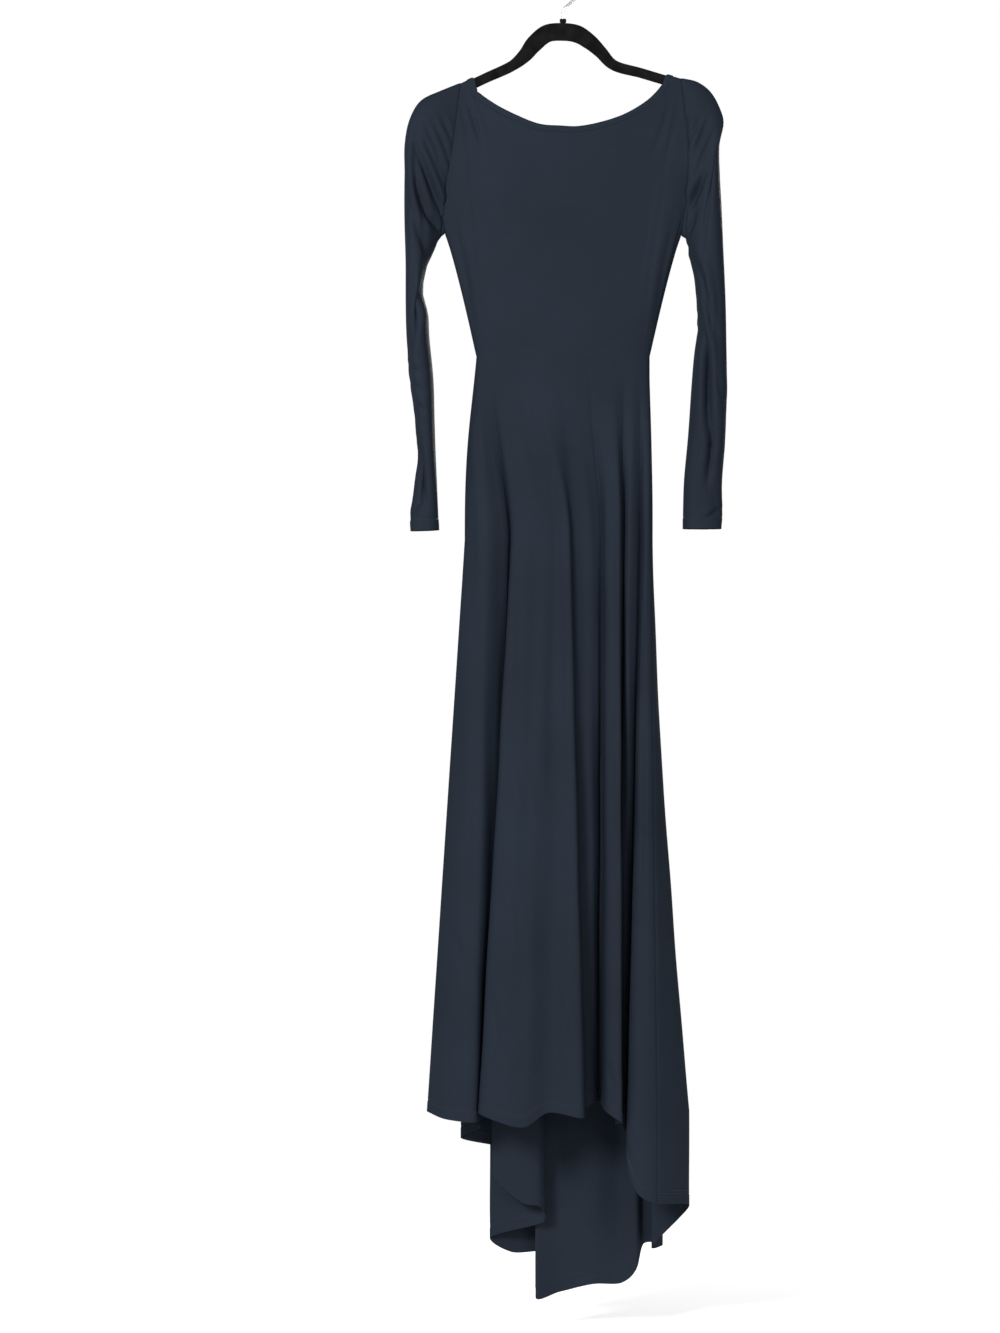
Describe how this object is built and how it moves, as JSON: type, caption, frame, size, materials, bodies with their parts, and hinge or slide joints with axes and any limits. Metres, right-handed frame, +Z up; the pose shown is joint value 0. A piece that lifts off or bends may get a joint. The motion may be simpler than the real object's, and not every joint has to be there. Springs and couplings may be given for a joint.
{
  "type": "maxi dress on a hanger",
  "caption": "Long-sleeved jersey maxi dress with a scoop neck, flared skirt and high-low hem, hanging on a slim flocked hanger.",
  "frame": {"origin": "inside of the hook's crown, where a rail holds the hanger", "axes": "+Z up, +X to the right of someone facing the dress, -Y the way the front of the dress faces"},
  "size_m": [0.4502, 0.155, 1.8635],
  "materials": {
    "jersey": "smooth dark navy-charcoal knit with a soft low sheen",
    "flock": "black velvet flocking over a moulded slab",
    "plated_wire": "bright plated steel wire"
  },
  "bodies": {
    "root": {"front_panel": "jersey", "back_panel": "jersey", "sleeve_left": "jersey", "sleeve_right": "jersey", "neck_binding": "jersey", "hanger_body": "flock", "hook_collar": "flock", "hanger_hook": "plated_wire"}
  },
  "joints": []
}
